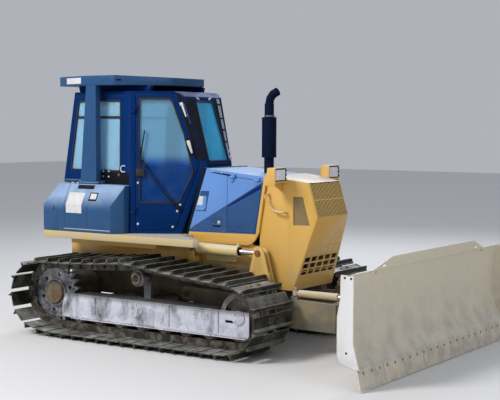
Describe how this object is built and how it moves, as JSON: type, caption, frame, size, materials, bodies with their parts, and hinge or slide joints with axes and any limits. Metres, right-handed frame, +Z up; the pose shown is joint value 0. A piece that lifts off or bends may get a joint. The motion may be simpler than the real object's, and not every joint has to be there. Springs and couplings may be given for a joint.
{
  "type": "crawler bulldozer",
  "caption": "Crawler bulldozer with a closed cab under a post-borne roof, wide low-pressure tracks, upright exhaust and a front blade that lifts, angles and tilts on an inside push frame.",
  "frame": {"origin": "middle of the bounding box in plan, on the ground under the tracks", "axes": "+X forward towards the blade, +Y to the left, +Z up"},
  "size_m": [4.782, 3.35, 2.828],
  "materials": {
    "yellow_paint": "worn gloss",
    "pale_yellow": "dusty worn",
    "blade_paint": "scoured, dusty",
    "blue_paint": "satin",
    "cab_blue": "satin",
    "navy_paint": "matt",
    "black_paint": "matt",
    "dark_cast": "rough",
    "grille_brown": "dusty",
    "glass": "clear",
    "seat_cover": "woven",
    "black_plastic": "grained",
    "frame_paint": "caked with dried mud",
    "worn_steel": "dusty",
    "track_steel": "worn, muddy",
    "bright_rod": "polished"
  },
  "bodies": {
    "machine": {"hull": "yellow_paint", "drawbar": "yellow_paint", "engine_block": "dark_cast", "radiator_core": "dark_cast", "nose_guard": "yellow_paint", "grilles": "grille_brown", "hood_shell": "blue_paint", "hood_sills": "yellow_paint", "bulkhead": "black_paint", "exhaust_stack": "navy_paint", "deck": "yellow_paint", "side_boxes": "blue_paint", "cab_shell": "cab_blue", "cab_floor_and_top": "cab_blue", "cab_glass": "glass", "roof_and_posts": "blue_paint", "operator_seat": "seat_cover", "control_consoles": "black_plastic", "head_lamps": "yellow_paint", "grab_handles": "yellow_paint", "track_frames": "frame_paint", "sprockets": "worn_steel", "idlers": "worn_steel", "track_rollers": "worn_steel", "track_right": "track_steel", "track_left": "track_steel"},
    "push_frame": {"push_frame": "pale_yellow"},
    "carrier": {"blade_carrier": "pale_yellow"},
    "blade": {"blade": "blade_paint"},
    "lift_barrel_right": {"lift_barrel_right": "yellow_paint"},
    "lift_rod_right": {"lift_rod_right": "bright_rod"},
    "angle_barrel_right": {"angle_barrel_right": "pale_yellow"},
    "angle_rod_right": {"angle_rod_right": "bright_rod"},
    "lift_barrel_left": {"lift_barrel_left": "yellow_paint"},
    "lift_rod_left": {"lift_rod_left": "bright_rod"},
    "angle_barrel_left": {"angle_barrel_left": "pale_yellow"},
    "angle_rod_left": {"angle_rod_left": "bright_rod"},
    "tilt_barrel": {"tilt_barrel": "pale_yellow"},
    "tilt_rod": {"tilt_rod": "bright_rod"},
    "door_right": {"door_right": "cab_blue", "door_glass_right": "glass"},
    "hood_door_right": {"hood_door_right": "blue_paint"},
    "door_left": {"door_left": "cab_blue", "door_glass_left": "glass"},
    "hood_door_left": {"hood_door_left": "blue_paint"}
  },
  "joints": [
    {"name": "blade_lift", "type": "hinge", "parent": "machine", "child": "push_frame", "pos_m": [-0.381, 0, 0.5], "axis": [0, -1, 0], "range_deg": [-8, 19]},
    {"name": "blade_angle", "type": "hinge", "parent": "push_frame", "child": "carrier", "pos_m": [1.669, 0, 0.39], "axis": [0, 0, 1], "range_deg": [-25, 25]},
    {"name": "blade_tilt", "type": "hinge", "parent": "carrier", "child": "blade", "pos_m": [1.929, 0, 0.43], "axis": [1, 0, 0], "range_deg": [-8, 8]},
    {"name": "lift_barrel_swing_right", "type": "hinge", "parent": "machine", "child": "lift_barrel_right", "pos_m": [-0.281, -0.49, 1], "axis": [0, -1, 0], "range_deg": [-10, 23]},
    {"name": "lift_rod_slide_right", "type": "slide", "parent": "lift_barrel_right", "child": "lift_rod_right", "axis": [0.9999, 0, -0.0119], "range_m": [-0.165, 0.07]},
    {"name": "angle_barrel_swing_right", "type": "hinge", "parent": "push_frame", "child": "angle_barrel_right", "pos_m": [0.969, -0.45, 0.61], "axis": [0, 0, 1], "range_deg": [-3, 3]},
    {"name": "angle_rod_slide_right", "type": "slide", "parent": "angle_barrel_right", "child": "angle_rod_right", "axis": [0.9999, -0.013, 0], "range_m": [-0.2, 0.2]},
    {"name": "lift_barrel_swing_left", "type": "hinge", "parent": "machine", "child": "lift_barrel_left", "pos_m": [-0.281, 0.49, 1], "axis": [0, -1, 0], "range_deg": [-10, 23]},
    {"name": "lift_rod_slide_left", "type": "slide", "parent": "lift_barrel_left", "child": "lift_rod_left", "axis": [0.9999, 0, -0.0119], "range_m": [-0.165, 0.07]},
    {"name": "angle_barrel_swing_left", "type": "hinge", "parent": "push_frame", "child": "angle_barrel_left", "pos_m": [0.969, 0.45, 0.61], "axis": [0, 0, 1], "range_deg": [-3, 3]},
    {"name": "angle_rod_slide_left", "type": "slide", "parent": "angle_barrel_left", "child": "angle_rod_left", "axis": [0.9999, 0.013, 0], "range_m": [-0.2, 0.2]},
    {"name": "tilt_barrel_swing", "type": "hinge", "parent": "carrier", "child": "tilt_barrel", "pos_m": [2.034, 0.06, 0.85], "axis": [1, 0, 0], "range_deg": [-9, 9]},
    {"name": "tilt_rod_slide", "type": "slide", "parent": "tilt_barrel", "child": "tilt_rod", "axis": [0, 1, 0], "range_m": [-0.06, 0.06]},
    {"name": "cab_door_right", "type": "hinge", "parent": "machine", "child": "door_right", "pos_m": [-0.92186, -0.69924, 1.3808], "axis": [0.0279, -0.0414, -0.9988], "range_deg": [0, 85]},
    {"name": "hood_door_swing_right", "type": "hinge", "parent": "machine", "child": "hood_door_right", "pos_m": [0.159, -0.43, 1.75659], "axis": [-0.9959, 0, 0.0907], "range_deg": [0, 75]},
    {"name": "cab_door_left", "type": "hinge", "parent": "machine", "child": "door_left", "pos_m": [-0.92186, 0.69924, 1.3808], "axis": [-0.0279, -0.0414, 0.9988], "range_deg": [0, 85]},
    {"name": "hood_door_swing_left", "type": "hinge", "parent": "machine", "child": "hood_door_left", "pos_m": [0.159, 0.43, 1.75659], "axis": [0.9959, 0, -0.0907], "range_deg": [0, 75]}
  ],
  "couplings": [
    {"joint": "lift_barrel_swing_right", "follows": "blade_lift", "ratio": 1.19},
    {"joint": "lift_rod_slide_right", "follows": "blade_lift", "m_per_rad": -0.482},
    {"joint": "angle_barrel_swing_right", "follows": "blade_angle", "ratio": 0.07},
    {"joint": "angle_rod_slide_right", "follows": "blade_angle", "m_per_rad": 0.447},
    {"joint": "lift_barrel_swing_left", "follows": "blade_lift", "ratio": 1.19},
    {"joint": "lift_rod_slide_left", "follows": "blade_lift", "m_per_rad": -0.482},
    {"joint": "angle_barrel_swing_left", "follows": "blade_angle", "ratio": 0.07},
    {"joint": "angle_rod_slide_left", "follows": "blade_angle", "m_per_rad": -0.447},
    {"joint": "tilt_barrel_swing", "follows": "blade_tilt", "ratio": 1.1},
    {"joint": "tilt_rod_slide", "follows": "blade_tilt", "m_per_rad": -0.418}
  ]
}
